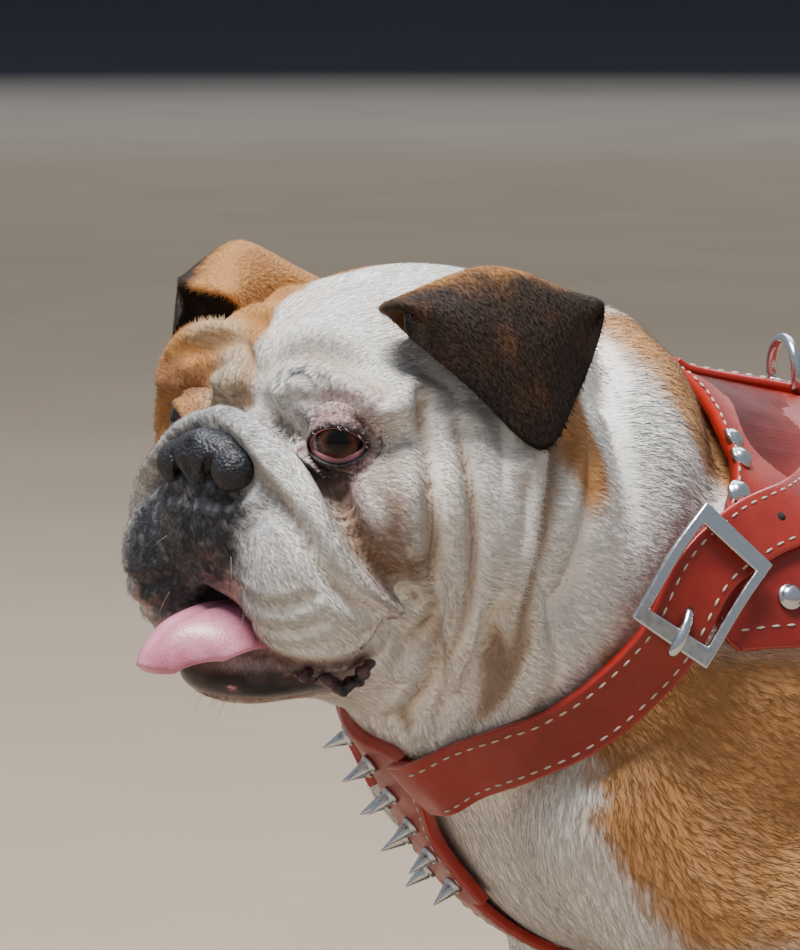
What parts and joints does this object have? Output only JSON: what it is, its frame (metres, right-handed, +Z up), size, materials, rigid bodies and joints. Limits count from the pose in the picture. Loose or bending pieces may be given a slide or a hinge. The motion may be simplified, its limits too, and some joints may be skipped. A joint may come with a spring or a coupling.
{
  "type": "english bulldog",
  "caption": "Life-size still model of a standing English bulldog with its head turned, mouth open and tongue out, in a studded leather harness.",
  "frame": {"origin": "on the floor, under the middle of the dog's bounding box", "axes": "+Z up, +X towards the tail and -X towards the head, -Y the dog's left side"},
  "size_m": [0.6206, 0.3178, 0.4559],
  "materials": {
    "coat": "short flat fur, white with tan patches",
    "ear_coat": "short velvety fur, tan ridge and dark brown flap",
    "eye": "wet cornea over a dark brown iris",
    "nose": "moist pebbled blue-black nose leather",
    "tongue": "moist pink",
    "leather": "smooth red harness leather, stitched",
    "nickel": "nickel plate, polished"
  },
  "bodies": {
    "root": {"head": "coat", "jaw": "coat", "tongue": "tongue", "nose": "nose", "neck": "coat", "torso": "coat", "tail": "coat", "eye_left": "eye", "ear_left": "ear_coat", "foreleg_left": "coat", "forepaw_left": "coat", "hindleg_left": "coat", "hindpaw_left": "coat", "eye_right": "eye", "ear_right": "ear_coat", "foreleg_right": "coat", "forepaw_right": "coat", "hindleg_right": "coat", "hindpaw_right": "coat", "saddle": "leather", "spine_strip": "leather", "ring": "nickel", "breast_plate": "leather", "breast_strap": "leather", "girth": "leather", "strap_left": "leather", "buckle_left": "nickel", "prong_left": "nickel", "stud_left_1": "nickel", "stud_left_2": "nickel", "stud_left_3": "nickel", "stud_left_4": "nickel", "stud_left_5": "nickel", "stud_left_6": "nickel", "stud_left_7": "nickel", "strap_right": "leather", "buckle_right": "nickel", "prong_right": "nickel", "stud_right_1": "nickel", "stud_right_2": "nickel", "stud_right_3": "nickel", "stud_right_4": "nickel", "stud_right_5": "nickel", "stud_right_6": "nickel", "stud_right_7": "nickel", "spike_1": "nickel", "spike_2": "nickel", "spike_3": "nickel", "spike_4": "nickel", "spike_5": "nickel", "spike_6": "nickel", "spike_7": "nickel", "spike_8": "nickel", "spike_9": "nickel", "spike_10": "nickel"}
  },
  "joints": []
}
